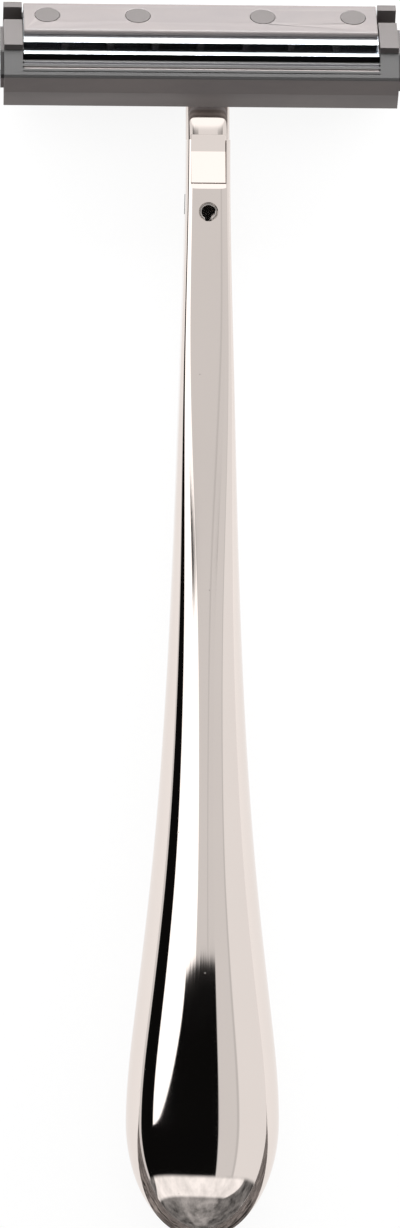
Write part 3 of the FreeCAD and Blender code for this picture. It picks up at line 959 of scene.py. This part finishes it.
@dataclass
class Neck:
    """The plated neck: a thin root under the rail, a throat, and a ramped tang in the handle's fork.

    fronts and backs are the throat's front and back lines from the head down, and tang is the tang's side
    outline. They, bore_centre and window are in millimetres, along and up.
    """

    side: float = 0.9 * MM
    half_width: float = 2.31 * MM
    tang_half: float = 1.83 * MM
    corner: float = 4.5
    fronts: tuple[Point, ...] = (
        (57.84, 5.28),
        (57.05, 4.70),
        (56.20, 4.42),
        (55.00, 4.36),
        (53.90, 4.50),
        (52.30, 4.84),
        (50.53, 5.16),
    )
    backs: tuple[Point, ...] = (
        (59.32, 3.39),
        (58.35, 2.58),
        (57.10, 1.95),
        (55.30, 1.80),
        (53.60, 1.80),
        (52.00, 1.82),
        (50.53, 1.85),
    )
    tang: tuple[Point, ...] = (
        (51.10, 2.68),
        (51.10, 5.10),
        (49.30, 5.38),
        (45.94, 6.20),
        (45.94, 5.52),
        (37.97, 5.52),
        (37.97, 2.68),
    )
    bore_centre: Point = (42.9, 4.2)
    bore: float = 1.01 * MM
    window: tuple[float, float, float, float] = (42.75, 44.85, 3.6, 4.8)
    rings: int = 72
    sides: int = 96
    bore_reach: float = 20 * MM
    eased: float = 0.12 * MM
    throat_edge: float = 35.0
    tang_edge: float = 1.5

    def throat(self) -> bpy.types.Object:
        """Lofts the part between the rail and the fork."""
        at = [i / (len(self.fronts) - 1) for i in range(len(self.fronts))]
        wanted = [i / (self.rings - 1) for i in range(self.rings)]
        tracks = []
        for line in (self.fronts, self.backs):
            for axis in (0, 1):
                values = [point[axis] * MM for point in line]
                tracks.append(free_curve(at, values, wanted))
        rings = []
        for front_y, front_z, back_y, back_z in zip(*tracks):
            front = Vector((0, front_y, front_z))
            back = Vector((0, back_y, back_z))
            middle = (front + back) / 2
            reach = (front - back) / 2
            ring = []
            for i in range(self.sides):
                angle = 2 * math.pi * (i + 0.5) / self.sides
                c = math.cos(angle)
                s = math.sin(angle)
                x = math.copysign(abs(c) ** (2 / self.corner), c) * self.half_width
                share = math.copysign(abs(s) ** (2 / self.corner), s)
                ring.append(middle + reach * share + Vector((self.side + x, 0, 0)))
            rings.append(ring)
        return loft("plated_neck", rings)

    def build(self, finishes: Finishes) -> list[bpy.types.Object]:
        """Builds and plates the neck.

        Args:
            finishes: the razor's materials.

        Returns:
            The pieces made.
        """
        neck = self.throat()
        side = [(y * MM, z * MM) for y, z in self.tang]
        tang = prism("plated_tang", side, self.side - self.tang_half, self.side + self.tang_half)
        opening = rectangle(*(value * MM for value in self.window))
        window = prism("tang_window_cutter", opening, self.side - CLEAR, self.side + CLEAR)
        place = Vector((self.side, self.bore_centre[0] * MM, self.bore_centre[1] * MM))
        bore = upright_rod("tang_bore_cutter", place, self.bore, self.bore_reach)
        cut(tang, [window, bore])
        edge = tang.modifiers.new("eased_edges", "BEVEL")
        edge.width = self.eased
        edge.segments = 3
        edge.limit_method = "ANGLE"
        bake(tang)
        crease(neck, self.throat_edge)
        crease(tang, self.tang_edge)
        for piece in (neck, tang):
            paint(piece, finishes.chrome)
            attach(piece, Body.HANDLE.value)
        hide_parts(Part.NECK.value)
        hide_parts(Part.NECK.value)
        return [neck, tang]


@dataclass
class Cartridge:
    """The disposable head: platform with guard, two blades with their spacer, and the cap."""

    moulded: float = 0.14 * MM
    cap_edge: float = 0.1 * MM
    blade_edge: float = 0.02 * MM

    def build(self, finishes: Finishes) -> list[bpy.types.Object]:
        """Dresses the head's nodes.

        Args:
            finishes: the razor's materials.

        Returns:
            The nodes dressed.
        """
        return [
            dress(Part.PLATFORM, finishes.guard, self.moulded),
            dress(Part.CAP, finishes.cap, self.cap_edge),
            dress(Part.SEAT_BLADE, finishes.blade, self.blade_edge),
            dress(Part.CAP_BLADE, finishes.blade, self.blade_edge),
            dress(Part.SPACER, finishes.spacer, self.blade_edge),
        ]


@dataclass
class Fittings:
    """The small metal pieces in the handle: rail, roll pin, and the detent's bush, spring and plunger."""

    rail_edge: float = 0.12 * MM
    small_edge: float = 0.05 * MM

    def build(self, finishes: Finishes) -> list[bpy.types.Object]:
        """Dresses the fittings' nodes.

        Args:
            finishes: the razor's materials.

        Returns:
            The nodes dressed.
        """
        return [
            dress(Part.RAIL, finishes.chrome, self.rail_edge),
            dress(Part.PIN, finishes.pin, self.small_edge),
            dress(Part.BUSH, finishes.spring, self.small_edge),
            dress(Part.PLUNGER, finishes.spring, self.small_edge),
            dress(Part.SPRING, finishes.spring, 0.0),
        ]


@dataclass(frozen=True)
class Panel:
    """One soft box, flag or wall of the studio, by the directions that it covers, in degrees.

    across runs from -180 to 180 about the razor's length, with 0 overhead and right positive.
    along runs from -90 at the bulb's end to 90 at the head's. bow shifts the panel to the left as a parabola
    below its upper edge, and ruffle makes its upper and lower edges uneven, as cloth hangs. level is its
    brightness, soft is how wide its edges fade, and mottled is how uneven its brightness is.
    """

    name: str
    across: Point
    along: Point
    level: float
    soft: float = 1.5
    bow: float = 0.0
    ruffle: float = 0.0
    mottled: float = 0.0


@dataclass(frozen=True)
class Bearings:
    """What panels are hung by: two directions in degrees, and two cloudy patterns from -1 to 1."""

    across: bpy.types.NodeSocket
    along: bpy.types.NodeSocket
    uneven: bpy.types.NodeSocket
    ripple: bpy.types.NodeSocket


@dataclass
class Studio:
    """The opal sheet, the room of soft boxes and flags, a grey card, two soft lights and the camera."""

    wall: float = 0.78
    panels: tuple[Panel, ...] = (
        Panel("left_wall", (-220, -85), (-95, 95), 0.76),
        Panel("left_flag", (-85, -60), (-95, 95), 0.004, 1.0),
        Panel("left_box", (-60, -10), (-95, 95), 1.6, 1.0),
        Panel("left_wing", (-12, 60), (-95, 95), 0.775, 1.0),
        Panel("centre_flag", (-26, 130), (-6.5, 3.6), 0.004, 0.5, bow=0.55, ruffle=0.12),
        Panel("low_flag", (-85, 60), (-40, -5.2), 0.004, 1.0),
        Panel("right_wall", (17, 130), (-95, 95), 0.785, 1.0),
        Panel("seam", (5, 7), (3.9, 95), 0.66, 0.8),
        Panel("right_box_rim", (38, 42), (-95, 95), 0.66, 1.0),
        Panel("right_box", (41, 220), (-95, 95), 0.95, 1.0),
        Panel("upper_wall", (-60, 220), (13, 24), 0.92, 3.0),
        Panel("head_box", (-60, 220), (24, 95), 1.35, 2.0),
        Panel("stand_left", (-26, -2), (15, 23), 0.14, 2.5),
        Panel("stand_right", (8, 26), (15, 23), 0.34, 2.5),
        Panel("end_room", (-220, 220), (-95, -29), 0.20, 3.0, mottled=0.7),
        Panel("end_glow", (-40, 30), (-80, -43), 0.36, 12.0, mottled=0.5),
        Panel("end_box", (-75, 62), (-43, -29), 1.1, 3.0, bow=0.12, mottled=0.15),
    )
    distance: float = 0.9
    aim_height: float = 5 * MM
    view_height: float = 129.2 * MM
    yaw: float = 2.8
    roll: float = 0.35
    sensor: float = 36.0
    aim_side: float = 0.35 * MM
    aim_along: float = 0.65 * MM
    sheet_half: float = 0.9
    sheet_gap: float = 0.02 * MM
    overhead_power: float = 1.5
    overhead_size: Point = (0.7, 0.7)
    overhead_place: tuple[float, float, float] = (-0.12, 0.3, 0.85)
    strip_power: float = 0.43
    strip_size: Point = (0.26, 0.045)
    strip_place: tuple[float, float, float] = (0.0, 0.135, 0.03)
    strip_aim: tuple[float, float, float] = (0.0, 0.06, 0.006)
    card_size: Point = (1.2, 0.8)
    card_overlap: float = 0.4 * MM
    card_gap: float = 0.01 * MM

    def world(self) -> None:
        """Builds the room of soft boxes and flags that the plate mirrors."""
        world = bpy.data.worlds.new("soft_box_studio")
        world.use_nodes = True
        bpy.context.scene.world = world
        tree = world.node_tree
        tree.nodes.clear()
        output = add_node(tree, "ShaderNodeOutputWorld")
        ray = add_node(tree, "ShaderNodeTexCoord").outputs["Generated"]
        axes = add_node(tree, "ShaderNodeSeparateXYZ", {0: ray})
        turn = add_node(
            tree, "ShaderNodeMath", {0: axes.outputs["X"], 1: axes.outputs["Z"]}, operation="ARCTAN2"
        ).outputs[0]
        across = add_node(tree, "ShaderNodeMath", {0: turn}, operation="DEGREES").outputs[0]
        lean = add_node(tree, "ShaderNodeMath", {0: axes.outputs["Y"]}, operation="ARCSINE").outputs[0]
        along = add_node(tree, "ShaderNodeMath", {0: lean}, operation="DEGREES").outputs[0]
        patterns = []
        for fineness in (5.0, 26.0):
            clutter = add_node(
                tree,
                "ShaderNodeTexNoise",
                {"Vector": ray, "Scale": fineness, "Detail": 6.0, "Roughness": 0.65},
            ).outputs["Fac"]
            patterns.append(
                add_node(
                    tree,
                    "ShaderNodeMapRange",
                    {"Value": clutter, "From Min": 0.35, "From Max": 0.65, "To Min": -1.0, "To Max": 1.0},
                ).outputs["Result"]
            )
        bearings = Bearings(across, along, *patterns)
        level = add_node(tree, "ShaderNodeValue").outputs[0]
        level.default_value = self.wall
        for panel in self.panels:
            level = self.hang(tree, panel, level, bearings)
        shade = add_node(tree, "ShaderNodeCombineColor", {0: level, 1: level, 2: level}).outputs[0]
        light = add_node(tree, "ShaderNodeBackground", {"Color": shade}).outputs[0]
        tree.links.new(light, output.inputs["Surface"])

    def hang(
        self, tree: bpy.types.NodeTree, panel: Panel, level: bpy.types.NodeSocket, bearings: Bearings
    ) -> bpy.types.NodeSocket:
        """Lays one panel over the room built so far.

        Args:
            tree: the world's tree.
            panel: the panel.
            level: the brightness behind it.
            bearings: the directions and patterns that it is hung by.

        Returns:
            The brightness with the panel in place.
        """
        across = bearings.across
        along = bearings.along
        if panel.bow:
            fall = add_node(tree, "ShaderNodeMath", {0: panel.along[1], 1: along}, operation="SUBTRACT")
            below = add_node(tree, "ShaderNodeMath", {0: fall.outputs[0], 1: 0.0}, operation="MAXIMUM")
            curve = add_node(tree, "ShaderNodeMath", {0: below.outputs[0], 1: 2.0}, operation="POWER")
            across = add_node(
                tree,
                "ShaderNodeMath",
                {0: curve.outputs[0], 1: panel.bow, 2: across},
                operation="MULTIPLY_ADD",
            ).outputs[0]
        if panel.ruffle:
            along = add_node(
                tree,
                "ShaderNodeMath",
                {0: bearings.ripple, 1: panel.ruffle, 2: along},
                operation="MULTIPLY_ADD",
            ).outputs[0]
        masks = []
        for angle, (low, high) in ((across, panel.across), (along, panel.along)):
            centre = (low + high) / 2
            half = (high - low) / 2
            fade = "SMOOTHSTEP"
            masks.append(band(tree, angle, centre, half, panel.soft / 2, interpolation_type=fade))
        mask = add_node(tree, "ShaderNodeMath", {0: masks[0], 1: masks[1]}, operation="MULTIPLY").outputs[0]
        patch = add_node(
            tree,
            "ShaderNodeMath",
            {0: bearings.uneven, 1: panel.level * panel.mottled, 2: panel.level},
            operation="MULTIPLY_ADD",
        ).outputs[0]
        return add_node(
            tree, "ShaderNodeMix", {"Factor": mask, "A": level, "B": patch}, data_type="FLOAT"
        ).outputs["Result"]

    def floor(self) -> bpy.types.Object:
        """Lays the opal sheet that the razor rests on."""
        shape = bmesh.new()
        bmesh.ops.create_grid(shape, x_segments=8, y_segments=8, size=self.sheet_half)
        sheet = finish_mesh("opal_sheet", shape)
        sheet.location.z = CAD_BOX[0][2] - self.sheet_gap
        paint(sheet, OpalSheet().material())
        return sheet

    def card(self) -> bpy.types.Object:
        """Lays a grey card just past the bulb's end, which only the plate sees."""
        near = CAD_BOX[0][1] + self.card_overlap
        far = near - self.card_size[1]
        half = self.card_size[0] / 2
        level = CAD_BOX[0][2] - self.card_gap
        shape = bmesh.new()
        corners = [(-half, far), (half, far), (half, near), (-half, near)]
        shape.faces.new([shape.verts.new((x, y, level)) for x, y in corners])
        card = finish_mesh("end_card", shape)
        card.visible_camera = False
        card.visible_shadow = False
        card.visible_diffuse = False
        paint(card, CloudedCard().material())
        return card

    def lights(self) -> None:
        """Hangs the soft overhead light and stands the strip box that grazes the head from behind."""
        middle = (0.0, 0.0, 0.0)
        overhead = self.lamp(
            "overhead_soft_box", self.overhead_place, middle, self.overhead_power, self.overhead_size
        )
        overhead.visible_glossy = False
        self.lamp("strip_box", self.strip_place, self.strip_aim, self.strip_power, self.strip_size)

    def lamp(
        self,
        name: str,
        place: tuple[float, float, float],
        aim: tuple[float, float, float],
        power: float,
        size: Point,
    ) -> bpy.types.Object:
        """Adds one rectangular soft light that the camera doesn't see.

        Args:
            name: the light's name.
            place: its centre.
            aim: the point that it faces.
            power: its power in watts.
            size: its width and height.

        Returns:
            The light's object.
        """
        lamp = bpy.data.lights.new(name, "AREA")
        lamp.shape = "RECTANGLE"
        lamp.size, lamp.size_y = size
        lamp.energy = power
        item = bpy.data.objects.new(name, lamp)
        item.location = place
        item.rotation_euler = (Vector(aim) - item.location).to_track_quat("-Z", "Y").to_euler()
        item.visible_camera = False
        bpy.context.scene.collection.objects.link(item)
        return item

    def camera(self) -> None:
        """Sets the camera straight above, a few degrees to the left."""
        eye = bpy.data.cameras.new("studio_camera")
        eye.sensor_width = self.sensor
        eye.lens = self.distance * self.sensor / self.view_height
        eye.clip_start = 0.01
        item = bpy.data.objects.new("studio_camera", eye)
        yaw = math.radians(self.yaw)
        roll = math.radians(self.roll)
        out = Vector((-math.sin(yaw), 0, math.cos(yaw)))
        up = Vector((-math.sin(roll), math.cos(roll), 0))
        right = up.cross(out).normalized()
        up = out.cross(right)
        target = Vector((self.aim_side, self.aim_along, self.aim_height))
        place = target + out * self.distance
        rows = [(*axis, at) for axis, at in zip(zip(right, up, out), place)]
        item.matrix_world = Matrix((*rows, (0, 0, 0, 1)))
        bpy.context.scene.collection.objects.link(item)
        bpy.context.scene.camera = item

    def build(self) -> None:
        """Sets up the whole studio."""
        self.world()
        self.floor()
        self.card()
        self.lights()
        self.camera()
        bpy.context.scene.view_settings.view_transform = "Standard"


def main() -> None:
    """Builds the razor piece by piece, then the studio round it."""
    logging.basicConfig(level=logging.INFO, format="%(message)s")
    finishes = Finishes()
    for assembly in (Handle(), Neck(), Fittings(), Cartridge()):
        for piece in assembly.build(finishes):
            LOG.info("%s: %s", type(assembly).__name__, piece.name)
    Studio().build()


if __name__ == "__main__":
    main()
